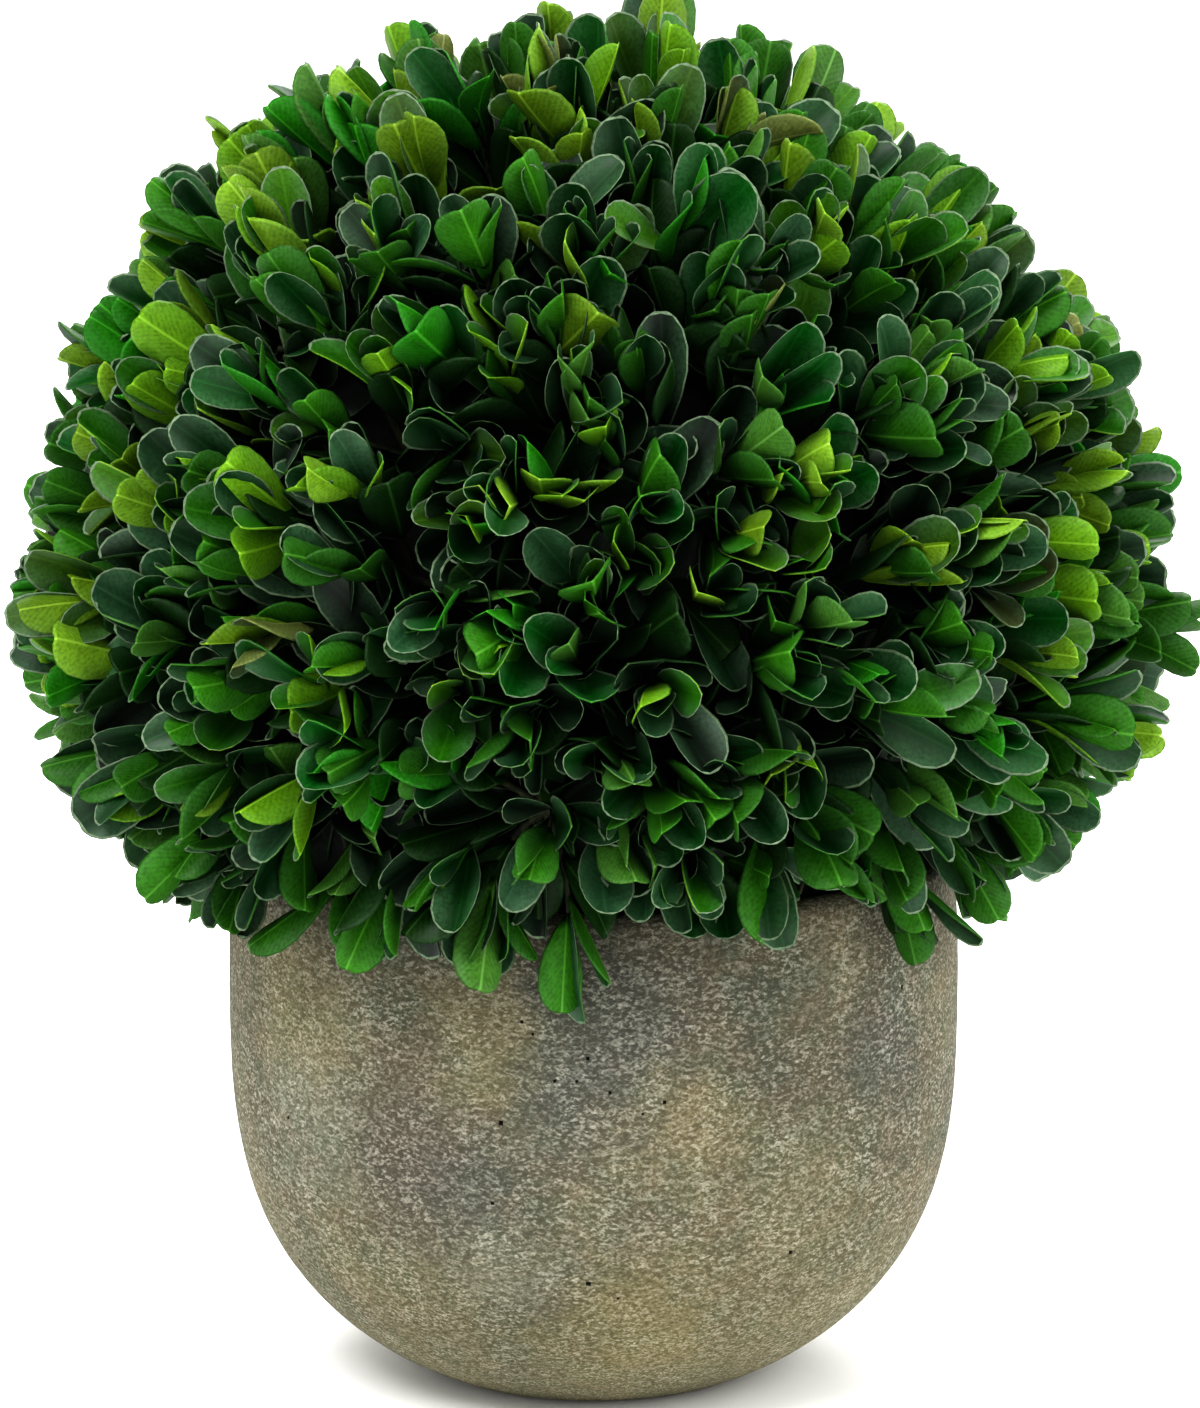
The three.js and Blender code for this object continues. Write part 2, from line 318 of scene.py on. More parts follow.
def stone_finish():
    """Raw cast stone: a cloudy, patched ground with pale dashes, dark hollows and sand."""
    material, tree, shader, place = new_material("cast_stone")
    clouds = grain(tree, place, 24, detail=4, roughness=0.6)
    ground = ramp(
        tree,
        clouds,
        (0.36, tone(78, 80, 74)),
        (0.47, tone(93, 92, 79)),
        (0.56, tone(106, 102, 85)),
        (0.66, tone(120, 115, 90)),
    )
    drift = grain(tree, place, 110, detail=4, roughness=0.7)
    hue = ramp(tree, drift, (0.4, BLACK), (0.6, WHITE))
    ground = mixed(tree, 0.35, ground, mixed(tree, hue, tone(98, 106, 80), tone(128, 112, 86)))
    ground = patched(tree, place, ground)
    height = put(tree, "ShaderNodeSeparateXYZ", {"Vector": place}).outputs["Z"]
    height = computed(tree, "DIVIDE", height, POT_HEIGHT)
    lowness = ramp(tree, height, (0.0, WHITE), (0.5, BLACK))
    ground = mixed(tree, computed(tree, "MULTIPLY", lowness, 0.4), ground, tone(138, 132, 92))
    flecks = dashes(tree, place, 1850)
    density = grain(tree, place, 130, detail=2)
    sand = grain(tree, place, 2600, detail=2)
    fleck_mask = ramp(tree, flecks, (0.52, BLACK), (0.7, WHITE))
    fleck_mask = computed(tree, "MULTIPLY", fleck_mask, computed(tree, "MULTIPLY", density, 1.5))
    pale = mixed(tree, 0.4, ground, tone(238, 234, 218))
    speckled = mixed(tree, fleck_mask, ground, pale)
    hollow_mask = ramp(tree, flecks, (0.4, WHITE), (0.52, BLACK))
    pitted = mixed(tree, computed(tree, "MULTIPLY", hollow_mask, 0.45), speckled, tone(62, 60, 50))
    sand_mask = ramp(tree, sand, (0.4, (0.3, 0.3, 0.3, 1)), (0.6, BLACK))
    sanded = mixed(tree, sand_mask, pitted, tone(70, 68, 56))
    tree.links.new(sanded, shader.inputs["Base Color"])
    relief = computed(tree, "ADD", flecks, computed(tree, "MULTIPLY", sand, 0.5))
    add_relief(tree, shader, relief, 0.5, 0.3 * MM)
    roughness = computed(tree, "SUBTRACT", 1.0, computed(tree, "MULTIPLY", flecks, 0.2))
    tree.links.new(roughness, shader.inputs["Roughness"])
    shader.inputs["Diffuse Roughness"].default_value = 1.0
    shader.inputs["Specular IOR Level"].default_value = 0.3
    return material


def pinhole_finish():
    """The dark inside of a hole that an air bubble left in the casting."""
    material, tree, shader, place = new_material("pinhole_shadow")
    soot = mixed(tree, grain(tree, place, 2500), tone(26, 25, 20), tone(48, 45, 36))
    tree.links.new(soot, shader.inputs["Base Color"])
    shader.inputs["Roughness"].default_value = 1.0
    return material


cast_stone = stone_finish()
pinhole_shadow = pinhole_finish()

# %% [markdown]
# ## The bowl
#
# A pot that was cast or thrown is a solid of revolution, so its profile is spun about Z. The
# profile runs up the outside, over the soft rim, down the inside and across the floor, and its
# curve is a formula, so the rows can be as close as the relief needs. Real cast stone is never
# quite true: slow and fast noise move the surface by a few tenths of a millimetre. The pinholes are
# cut into the mesh by insetting a face and pushing its middle in.

# %% Bowl profile and spin
BOWL_STEPS = 220
OUTSIDE_ROWS = 64
INSIDE_ROWS = 18
RIM_ROWS = 8
RIM_RISE = WALL / 4


def bowl_heights(lowest, highest, rows):
    """Heights that lie closer together near the foot, where the wall turns fastest."""
    return [lowest + (highest - lowest) * (row / rows) ** 1.5 for row in range(rows + 1)]


def bowl_profile():
    """The bowl's outline from the middle of its foot to the middle of its floor."""
    rim_foot = POT_HEIGHT - RIM_RISE
    rim_middle = RIM_RADIUS - WALL / 2
    outside = [(pot_radius_at(height), height) for height in bowl_heights(0, rim_foot, OUTSIDE_ROWS)]
    rim = []
    for row in range(1, RIM_ROWS):
        angle = math.pi * row / RIM_ROWS
        rim.append((rim_middle + WALL / 2 * math.cos(angle), rim_foot + RIM_RISE * math.sin(angle)))
    inside = []
    for height in reversed(bowl_heights(WALL, rim_foot, INSIDE_ROWS)):
        share = (height - WALL) / (POT_HEIGHT - WALL)
        inside.append((pot_radius_at(share * POT_HEIGHT) - WALL, height))
    return [(0, 0), *outside, *rim, *inside, (0, WALL)]


def spun(profile, steps):
    """A profile of (radius, height) points turned about Z into a closed shape."""
    bm = bmesh.new()
    points = [bm.verts.new((radius, 0, height)) for radius, height in profile]
    edges = [bm.edges.new(pair) for pair in zip(points, points[1:])]
    bmesh.ops.spin(
        bm,
        geom=points + edges,
        cent=(0, 0, 0),
        axis=(0, 0, 1),
        angle=2 * math.pi,
        steps=steps,
        use_merge=True,
    )
    bmesh.ops.remove_doubles(bm, verts=bm.verts, dist=0.01 * MM)
    bmesh.ops.recalc_face_normals(bm, faces=bm.faces)
    return bm


# %% Relief and pinholes
SLOW_RELIEF = 0.22 * MM
SLOW_WAVE = 16 * MM
FAST_RELIEF = 0.1 * MM
FAST_WAVE = 3.2 * MM
FLAT_FOOT = 1.5 * MM  # no relief below this height
HOLE_MARGIN = 0.15 * MM  # of untouched wall round a pinhole
HOLE_LIP = 0.12  # of a pinhole's width
HOLE_DEPTH = 0.7


def roughen(bm):
    """Moves the surface of the bowl in by slow and fast noise, but not the flat foot."""
    bm.normal_update()
    for vert in bm.verts:
        if vert.co.z > FLAT_FOOT:
            slow = 0.5 + 0.5 * noise.noise(vert.co / SLOW_WAVE)
            fast = 0.5 + 0.5 * noise.noise(vert.co / FAST_WAVE + Vector((7, 3, 5)))
            vert.co -= vert.normal * (SLOW_RELIEF * slow + FAST_RELIEF * fast)


# Degrees round from the front, millimetres up, and millimetres across.
PINHOLES = [
    (-14, 63.5, 1.2),
    (-11, 82, 0.8),
    (-9, 81, 0.7),
    (-6, 71.5, 0.8),
    (-3, 72, 0.7),
    (-1, 77, 0.9),
    (3, 70, 0.8),
    (8, 66, 0.6),
    (11, 68, 0.9),
    (-15, 48, 0.9),
    (0, 33, 1.2),
    (4, 30.5, 0.7),
    (34, 37, 1.1),
]
MORE_PINHOLES = 26  # round the sides and the back, by rule


def pinhole_places():
    """Where each pinhole is, as a point on the bowl, and how wide it is."""
    listed = list(PINHOLES)
    for number in range(MORE_PINHOLES):
        turn = 50 + 260 * (number + 0.5) / MORE_PINHOLES
        wander = noise.noise(Vector((number * 3.7, 1.3, 0.4)))
        listed.append((turn, 55 + 62 * wander, 0.8 + 0.5 * abs(wander)))
    for turn, height, across in listed:
        yield place_on_bowl(turn, height), across * MM


def prick(bm, place, across):
    """Cuts one pinhole into the face nearest to a place."""
    bm.faces.ensure_lookup_table()
    face = min(bm.faces, key=lambda each: (each.calc_center_median() - place).length_squared)
    centre = face.calc_center_median()
    inward = -face.normal.copy()
    bmesh.ops.inset_individual(bm, faces=[face], thickness=HOLE_MARGIN)
    for vert in face.verts:
        spoke = (vert.co - centre).normalized()
        vert.co = centre + spoke * across / 2
    inner = bmesh.ops.inset_individual(bm, faces=[face], thickness=across * HOLE_LIP)
    for ring_face in [face, *inner["faces"]]:
        ring_face.material_index = 1
    for vert in face.verts:
        vert.co += inward * across * HOLE_DEPTH


def add_bowl():
    """The bowl, spun, roughened and pricked with pinholes."""
    bm = spun(bowl_profile(), BOWL_STEPS)
    roughen(bm)
    for place, across in pinhole_places():
        prick(bm, place, across)
    mesh = mesh_from(bm, "stone_bowl", cast_stone, pinhole_shadow)
    add_piece("stone_bowl", mesh, "pot")


add_bowl()

# %% [markdown]
# ## What fills the bowl, and the stem
#
# Under the ball the bowl is filled, and a short woody stem stands in the filling. Little of this
# can be seen, yet it is finished like the rest. The filling is a lumpy disc of dried moss, and the
# stem is a tapering limb whose bark is furrowed lengthwise by noise that changes fast round the
# stem and slowly along it.


# %% Bark and moss finishes
def new_group(name, kinds):
    """A group with inputs of the given kinds, which puts out a colour, a roughness and a relief."""
    group = bpy.data.node_groups.new(name, "ShaderNodeTree")
    for socket, kind in kinds.items():
        group.interface.new_socket(socket, in_out="INPUT", socket_type="NodeSocket" + kind)
    for socket, kind in {"Color": "Color", "Roughness": "Float", "Relief": "Float"}.items():
        group.interface.new_socket(socket, in_out="OUTPUT", socket_type="NodeSocket" + kind)
    given = group.nodes.new("NodeGroupInput").outputs
    result = group.nodes.new("NodeGroupOutput").inputs
    return group, given, result


def fibre_group():
    """Lengthwise fibres for bark and twigs, in a colour between two."""
    kinds = {"Furrow": "Color", "Ridge": "Color", "Scale": "Float"}
    group, given, result = new_group("woody_fibre", kinds)
    place = group.nodes.new("ShaderNodeTexCoord").outputs["Object"]
    fibres = grain(group, place, given["Scale"], detail=4, roughness=0.6, longer=(1, 1, 4.5))
    mask = ramp(group, fibres, (0.36, BLACK), (0.62, WHITE))
    group.links.new(mixed(group, mask, given["Furrow"], given["Ridge"]), result["Color"])
    roughness = computed(group, "SUBTRACT", 1.0, computed(group, "MULTIPLY", fibres, 0.3))
    group.links.new(roughness, result["Roughness"])
    group.links.new(fibres, result["Relief"])
    return group


woody_fibre = fibre_group()


def woody_finish(name, furrow, ridge, scale, relief):
    """Bark, in a dark and a light tone, with so many fibres to the metre."""
    material, tree, shader, _ = new_material(name)
    inputs = {"Furrow": furrow, "Ridge": ridge, "Scale": scale}
    fibre = put(tree, "ShaderNodeGroup", inputs, node_tree=woody_fibre).outputs
    tree.links.new(fibre["Color"], shader.inputs["Base Color"])
    tree.links.new(fibre["Roughness"], shader.inputs["Roughness"])
    add_relief(tree, shader, fibre["Relief"], 0.6, relief)
    return material


def moss_finish(name, dark, light, scale):
    """Dried moss and packing: dark, rough and uneven."""
    material, tree, shader, place = new_material(name)
    tufts = grain(tree, place, scale, detail=5, roughness=0.65)
    mask = ramp(tree, tufts, (0.38, BLACK), (0.66, WHITE))
    tree.links.new(mixed(tree, mask, dark, light), shader.inputs["Base Color"])
    add_relief(tree, shader, tufts, 0.8, 1.2 * MM)
    shader.inputs["Roughness"].default_value = 1.0
    return material


stem_bark = woody_finish("stem_bark", tone(48, 38, 28), tone(122, 104, 80), 420, 0.8 * MM)
twig_bark = woody_finish("twig_bark", tone(22, 26, 14), tone(50, 56, 30), 900, 0.2 * MM)
packing_moss = moss_finish("packing_moss", tone(24, 20, 12), tone(66, 58, 32), 260)
# The core's almost black moss is painted shade, so the gaps between the leaves look deep.
core_moss_painted_shade = moss_finish("core_moss_painted_shade", tone(4, 8, 5), tone(14, 26, 12), 240)

# %% Filling and stem pieces
fill_low, fill_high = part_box("pot_fill")
stem_low, stem_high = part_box("stem")
FILL_CLEARANCE = 0.9 * MM
HEAP_RISE = 2 * MM
LUMP_DEPTH = 1.2 * MM
LUMP_SIZE = 5 * MM
BARE_ROUND_STEM = 16 * MM  # no lumps inside this radius
STEM_RADIUS = 7 * MM
STEM_TAPER = 0.05
STEM_ROWS = 24
STEM_FLARE = 3.5 * MM
FLARE_HEIGHT = 3 * MM
FURROW_SIZE = (2.2 * MM, 2.2 * MM, 9 * MM)
FURROW_DEPTH = 0.9 * MM


def add_filling():
    """The filling: a spun plug with a heaped, lumpy top."""
    top = fill_high.z - HEAP_RISE
    profile = [(0, fill_low.z)]
    for height in bowl_heights(fill_low.z, top, 12):
        share = (height - SOLIDS_GAP - WALL) / (POT_HEIGHT - WALL)
        profile.append((pot_radius_at(share * POT_HEIGHT) - WALL - FILL_CLEARANCE, height))
    edge = profile[-1][0]
    for share in (0.85, 0.7, 0.55, 0.4, 0.25):
        profile.append((edge * share, top + HEAP_RISE * min(1.4 * (1 - share), 1)))
    bm = spun([*profile, (0, fill_high.z)], 96)
    for vert in bm.verts:
        if vert.co.z > top - 0.1 * MM and vert.co.xy.length > BARE_ROUND_STEM:
            vert.co.z -= LUMP_DEPTH * (0.5 + 0.5 * noise.noise(vert.co / LUMP_SIZE))
    add_piece("moss_filling", mesh_from(bm, "moss_filling", packing_moss), "pot_fill")


def add_stem():
    """The stem: a spun taper with a root flare, furrowed by noise that runs along it."""
    profile = []
    for row in range(STEM_ROWS + 1):
        height = stem_low.z + (stem_high.z - stem_low.z) * row / STEM_ROWS
        above = height - stem_low.z
        flare = STEM_FLARE * math.exp(-above / FLARE_HEIGHT)
        profile.append((STEM_RADIUS - STEM_TAPER * above + flare, height))
    bm = spun([(0, stem_low.z), *profile, (0, stem_high.z)], 64)
    for vert in bm.verts:
        if vert.co.xy.length > 1 * MM:
            place = Vector([along / size for along, size in zip(vert.co, FURROW_SIZE)])
            furrow = 0.5 + 0.5 * noise.noise(place)
            vert.co.xy *= 1 - FURROW_DEPTH * furrow / vert.co.xy.length
    add_piece("barked_stem", mesh_from(bm, "barked_stem", stem_bark), "stem")


add_filling()
add_stem()

# %% [markdown]
# ## The core of the ball
#
# The sprigs of a made ball are pushed into a round core until it can't be seen. Here the core is an
# icosphere, which has even triangles with no poles, cut flat where it sits in the bowl. Noise makes
# it shaggy, and its almost black finish is painted shade, so that the gaps between the leaves are deep.

# %% Core piece
CORE_SHAG = 3.0 * MM
SHAG_SIZE = 6 * MM


def add_core():
    """The core: a shaggy ball with a flat underside."""
    bm = bmesh.new()
    bmesh.ops.create_icosphere(bm, subdivisions=5, radius=CORE_RADIUS)
    for vert in bm.verts:
        shag = 0.5 + 0.5 * noise.fractal(vert.co / SHAG_SIZE, 0.8, 2.0, 3)
        vert.co *= 1 - CORE_SHAG * shag / CORE_RADIUS
    bmesh.ops.translate(bm, verts=bm.verts, vec=BALL_CENTRE)
    everything = bm.verts[:] + bm.edges[:] + bm.faces[:]
    cut = bmesh.ops.bisect_plane(
        bm,
        geom=everything,
        plane_co=(0, 0, CORE_UNDERSIDE),
        plane_no=(0, 0, -1),
        clear_outer=True,
    )
    rim = [item for item in cut["geom_cut"] if isinstance(item, bmesh.types.BMEdge)]
    bmesh.ops.holes_fill(bm, edges=rim)
    bmesh.ops.recalc_face_normals(bm, faces=bm.faces)
    mesh = mesh_from(bm, "mossy_core", core_moss_painted_shade)
    add_piece("mossy_core", mesh, "foliage_ball")


add_core()

# %% [markdown]
# ## How the ball grows
#
# The main twigs follow the rule that the solids were made with. They leave the core on a golden
# spiral, which spreads any number of twigs evenly over a ball. Each forks at its foot into shoots,
# so only its foot and its reach are needed here, and the low shoots droop over the rim. A shoot
# carries opposite pairs of leaves, every pair turned a quarter round from the last, as box has
# them. A number that looks random comes from a sine, so the same twig grows the same way each time.

# %% The rule for the main twigs
TWIG_COUNT = 116
GOLDEN_ANGLE = math.pi * (3 - math.sqrt(5))
LOWEST_TWIG = math.radians(119)
DROOP_FROM = math.radians(96)
DROOP_TURN = math.radians(30)
SKIRT_SHORTER = 9 * MM
TWIG_WANDER = 0.12  # radians
REACH_SPREAD = 5 * MM

Twig = namedtuple("Twig", "foot reach")


def chance(twig, question):
    """A number from -1 to 1 that depends only on the twig and on what is asked of it."""
    jumble = math.sin(twig * 12.9898 + question * 78.233 + 4.1) * 43758.5453
    return 2 * (jumble - math.floor(jumble)) - 1


def pointing(down, around):
    """The direction that is an angle down from straight up, and another round Z."""
    return Vector((math.sin(down) * math.cos(around), math.sin(down) * math.sin(around), math.cos(down)))


def spiral_down(number, count):
    """How far down from straight up one of so many evenly spread twigs stands."""
    return math.acos(1 - (1 - math.cos(LOWEST_TWIG)) * (number + 0.5) / count)


def hang_of(down):
    """How much a twig that stands so far down hangs over the rim, from 0 to 1."""
    return min(max((down - DROOP_FROM) / (LOWEST_TWIG - DROOP_FROM), 0), 1)


def twig_rule(number):
    """One main twig: where it leaves the core, and how far it reaches out of it."""
    down = spiral_down(number, TWIG_COUNT)
    around = number * GOLDEN_ANGLE + TWIG_WANDER * chance(number, 1)
    reach = CROWN_RADIUS - CORE_RADIUS + REACH_SPREAD * chance(number, 4)
    reach -= SKIRT_SHORTER * hang_of(down)
    return Twig(BALL_CENTRE + CORE_RADIUS * pointing(down, around), reach)


twigs = [twig_rule(number) for number in range(TWIG_COUNT)]
print("main twigs:", len(twigs))

# %% The rule for the shoots and their leaves
SHOOT_COUNT = 4 * TWIG_COUNT
SHOOT_WANDER = 0.05  # radians
SHOOT_SPREAD = 4.5 * MM
SHOOT_SHORTER = 5 * MM  # shoots end a little inside the solids' reach
SHOOT_SKIRT_SHORTER = 5 * MM  # and the hanging ones a little more
FULL_SIDES = [  # where the ball was left fuller or cut closer: towards, by how much, how widely
    (Vector((-0.45, -0.1, 0.89)), 4 * MM, 30),
    (Vector((0.0, -0.2, 0.98)), 5 * MM, 60),
    (Vector((0.38, -0.1, 0.92)), -7 * MM, 40),
    (Vector((0.68, -0.1, 0.73)), -7 * MM, 30),
    (Vector((-0.97, -0.1, 0.22)), -3 * MM, 10),
    (Vector((-0.85, -0.1, -0.4)), 4.5 * MM, 25),
    (Vector((0.85, -0.1, -0.4)), 6 * MM, 25),
    (Vector((0.05, -0.86, -0.5)), 3.5 * MM, 16),
]
SHOOT_TILT = math.radians(16)
SHOOT_BEND = 0.3  # the share of a shoot's reach at which it bends
LEAF_PAST_TIP = 0.58  # the share of a leaf that reaches past its shoot's tip
LEAF_PAIRS = 5
PAIR_SPACING = 4.2  # mm
LEAF_LENGTH = 20.5 * MM
YOUNG_LENGTH = 0.86  # of a grown leaf's, for the pair at the tip
SIZE_SPREAD = 0.18
LEAF_STALK = 0.3  # mm
YOUNG_OPENING = 13  # degrees between a leaf at the tip and its shoot
MORE_OPENING = 25  # degrees more for the lowest pair
LEANING = 17  # degrees either way
SPRAWLING = 25  # degrees more for the few that lean most
SPIN_SPREAD = 0.18  # half turns
ROLL_SPREAD = math.radians(80)

Shoot = namedtuple("Shoot", "number foot bend tip hang")
Leaf = namedtuple("Leaf", "number root along hollow length shoot hang level")


def fullness(outwards):
    """How much further the ball reaches in a direction than a true ball would."""
    return sum(much * max(outwards.dot(side), 0) ** focus for side, much, focus in FULL_SIDES)


def shoot_rule(number):
    """One shoot: it leaves the nearest main twig's foot, bends outwards and ends on the spiral."""
    down = spiral_down(number, SHOOT_COUNT) + SHOOT_WANDER * chance(number, 41)
    around = number * GOLDEN_ANGLE + SHOOT_WANDER * chance(number, 42) / math.sin(down)
    outwards = pointing(down, around)
    twig = max(twigs, key=lambda each: (each.foot - BALL_CENTRE).dot(outwards))
    hang = hang_of(down)
    heading = pointing(
        down + hang * DROOP_TURN + SHOOT_TILT * chance(number, 43),
        around + SHOOT_TILT * chance(number, 44),
    )
    reach = 0.5 * (twig.reach + CROWN_RADIUS - CORE_RADIUS - SKIRT_SHORTER * hang) - SHOOT_SHORTER
    reach += SHOOT_SPREAD * chance(number, 45) - SHOOT_SKIRT_SHORTER * hang + fullness(outwards)
    reach -= LEAF_PAST_TIP * LEAF_LENGTH
    start = BALL_CENTRE + CORE_RADIUS * outwards
    bend = start + SHOOT_BEND * reach * heading
    return Shoot(number, twig.foot, bend, start + reach * heading, hang)


def side_of(shoot):
    """A direction square to a shoot, from which turns about it are counted."""
    return Vector((0.3, 0.5, 0.8)).cross(shoot.tip - shoot.foot).normalized()


def turned(vector, axis, angle):
    """A vector turned about an axis."""
    return Matrix.Rotation(angle, 3, axis) @ vector


def along_shoot(shoot, share):
    """The point and the direction at a share of the way along a shoot."""
    rest = 1 - share
    point = rest * rest * shoot.foot + 2 * rest * share * shoot.bend + share * share * shoot.tip
    direction = rest * (shoot.bend - shoot.foot) + share * (shoot.tip - shoot.bend)
    return point, direction.normalized()


def leaves_of(shoot):
    """A shoot's leaves: young ones stand up at its tip, older ones are longer and lean out."""
    length_of_shoot = (shoot.bend - shoot.foot).length + (shoot.tip - shoot.bend).length
    start = side_of(shoot)
    for level in range(LEAF_PAIRS):
        from_tip = PAIR_SPACING * level * MM
        point, direction = along_shoot(shoot, max(1 - from_tip / length_of_shoot, 0.05))
        opening = YOUNG_OPENING + MORE_OPENING * (level / (LEAF_PAIRS - 1)) ** 0.9
        length = LEAF_LENGTH * (1 if level else YOUNG_LENGTH)
        for side in range(2):
            number = 2 * level + side
            question = 200 + 9 * number
            spin = side + level / 2 + SPIN_SPREAD * chance(shoot.number, question)
            spin += chance(shoot.number, 99)
            leaning = chance(shoot.number, question + 1)
            angle = math.radians(opening + LEANING * leaning + SPRAWLING * max(leaning, 0) ** 6)
            outward = (start - direction * start.dot(direction)).normalized()
            outward = turned(outward, direction, math.pi * spin)
            along = direction * math.cos(angle) + outward * math.sin(angle)
            hollow = direction * math.sin(angle) - outward * math.cos(angle)
            sideways = chance(shoot.number, question + 2)
            hollow = turned(hollow, along, ROLL_SPREAD * sideways * abs(sideways))
            size = length * (1 + SIZE_SPREAD * chance(shoot.number, question + 3))
            root = point + outward * LEAF_STALK * MM
            yield Leaf(number, root, along, hollow, size, shoot.number, shoot.hang, level)


shoots = [shoot_rule(number) for number in range(SHOOT_COUNT)]
grown = [leaf for shoot in shoots for leaf in leaves_of(shoot)]
print("shoots:", len(shoots), "leaves before any are skipped:", len(grown))

# %% [markdown]
# ## Leaf forms
#
# A box leaf is a small thick spoon: narrow where it joins the twig, broad past the middle, blunt at
# the tip, folded a little along its midrib, and edged with a thin pale line. It could be drawn by
# hand, vertex by vertex. Bending a grid is shorter: its columns become the two halves of the blade
# with the margin on either side, and its rows follow the outline's formula. The midrib and the veins
# are left to the finish. The same grid, turned over and joined at the edge, is the underside. A few
# forms with other folds and curls are enough variety once each copy has its own size and turn.

# %% The outline of a leaf
LEAF_COLUMNS = 4  # margin, half, half, margin
LEAF_ROWS = 7
ROW_PLACES = (0, 0.18, 0.4, 0.6, 0.77, 0.89, 0.96)  # shares of the length
TIP_PLACES = (0.988, 0.996, 0.99)  # from the corner to the midrib, which ends in a slight notch
MARGIN_WIDTH = 0.017  # of the length
LEAF_THICKNESS = 0.016
UPPER, UNDER, MARGIN = range(3)

LeafForm = namedtuple("LeafForm", "width fold cup curl twist")
LEAF_FORMS = [
    LeafForm(0.46, 0.20, 0.36, 0.16, 0.0),  # a spoon
    LeafForm(0.43, 0.28, 0.14, 0.05, 0.35),  # nearly flat
    LeafForm(0.45, 0.50, 0.12, 0.08, -0.3),  # folded along the midrib
    LeafForm(0.51, 0.14, 0.44, 0.28, 0.1),  # a deep cup
    LeafForm(0.42, 0.24, 0.18, -0.16, -0.45),  # curled back at the tip
]


def half_width(share, width):
    """Half the blade's width at a share of its length: a wedge that ends in a round paddle."""
    return width / 2 * (0.06 + 2.5 * share**0.97 * math.sqrt(max(1 - share, 0)))


def blade_place(column, row, width):
    """Where a corner of the grid lies on the flat blade: across it, and along it."""
    inwards = min(column, LEAF_COLUMNS - column)  # 0 at the edge, 1 inside the margin, 2 at the midrib
    side = (column > LEAF_COLUMNS / 2) - (column < LEAF_COLUMNS / 2)
    if row == LEAF_ROWS:
        along = TIP_PLACES[inwards]
        across = half_width(along, width)
    elif row == LEAF_ROWS - 1 and inwards == 1:
        along = 0.965
        across = half_width(0.96, width) * 0.75
    elif row == LEAF_ROWS - 1 and inwards == 2:
        along = TIP_PLACES[2] - MARGIN_WIDTH
        across = 0
    else:
        along = ROW_PLACES[row]
        edge = half_width(along, width)
        across = max(edge - MARGIN_WIDTH, edge * 0.6) if inwards else edge
    return side * across, along


# %% One leaf from a bent grid
Shape = namedtuple("Shape", "corners loops sizes slots spots")


def shape_of(bm):
    """A bmesh as arrays: its corners, each face's corners, size and finish, and its UV spots."""
    bm.verts.index_update()
    uv = bm.loops.layers.uv.verify()
    loops = [loop for face in bm.faces for loop in face.loops]
    shape = Shape(
        np.array([vert.co[:] for vert in bm.verts]),
        np.array([loop.vert.index for loop in loops], dtype=np.int32),
        np.array([len(face.verts) for face in bm.faces], dtype=np.int32),
        np.array([face.material_index for face in bm.faces], dtype=np.int32),
        np.array([loop[uv].uv[:] for loop in loops], dtype=np.float32),
    )
    bm.free()
    return shape


def leaf_shape(form):
    """A leaf of unit length that grows along +Y from its root, with its hollow side up."""
    bm = bmesh.new()
    uv = bm.loops.layers.uv.verify()
    bmesh.ops.create_grid(bm, x_segments=LEAF_COLUMNS, y_segments=LEAF_ROWS, size=1)
    for face in bm.faces:
        middle = face.calc_center_median()
        column = int((middle.x + 1) * LEAF_COLUMNS / 2)
        row = int((middle.y + 1) * LEAF_ROWS / 2)
        at_edge = column in (0, LEAF_COLUMNS - 1) or row == LEAF_ROWS - 1
        face.material_index = MARGIN if at_edge else UPPER
    for vert in bm.verts:
        column = round((vert.co.x + 1) * LEAF_COLUMNS / 2)
        row = round((vert.co.y + 1) * LEAF_ROWS / 2)
        across, along = blade_place(column, row, form.width)
        for loop in vert.link_loops:
            loop[uv].uv = (0.5 + across / form.width, along)
        lift = form.fold * abs(across) + form.cup * 2 * across * across / form.width
        lift += form.curl * along * (along - 0.3)
        angle = form.twist * along
        vert.co.x = across * math.cos(angle) - lift * math.sin(angle)
        vert.co.z = lift * math.cos(angle) + across * math.sin(angle)
        vert.co.y = along
    middles = [vert for vert in bm.verts if not vert.is_boundary]
    copy = bmesh.ops.duplicate(bm, geom=bm.verts[:] + bm.edges[:] + bm.faces[:])
    lower_faces = [item for item in copy["geom"] if isinstance(item, bmesh.types.BMFace)]
    for face in lower_faces:
        face.material_index = UNDER
    lower_middles = [copy["vert_map"][vert] for vert in middles]
    bmesh.ops.translate(bm, verts=lower_middles, vec=(0, 0, -LEAF_THICKNESS))
    bmesh.ops.reverse_faces(bm, faces=lower_faces)
    bmesh.ops.remove_doubles(bm, verts=bm.verts, dist=1e-5)
    return shape_of(bm)


leaf_shapes = [leaf_shape(form) for form in LEAF_FORMS]
print("faces in a leaf:", [len(shape.sizes) for shape in leaf_shapes])

# %% [markdown]
# ## Leaf finishes
#
# The two sides of a box leaf differ. The upper side is dark and waxy, with a faint network of veins,
# and the underside is a dull yellow-green with a raised pale midrib. Around them runs a thin pale
# margin. Both sides share one group, which takes a tint and a vein colour and puts the side veins
# in slanting rows on the leaf's own UV map. Each spray then has its own plain tint, so the ball is
# not one flat green.


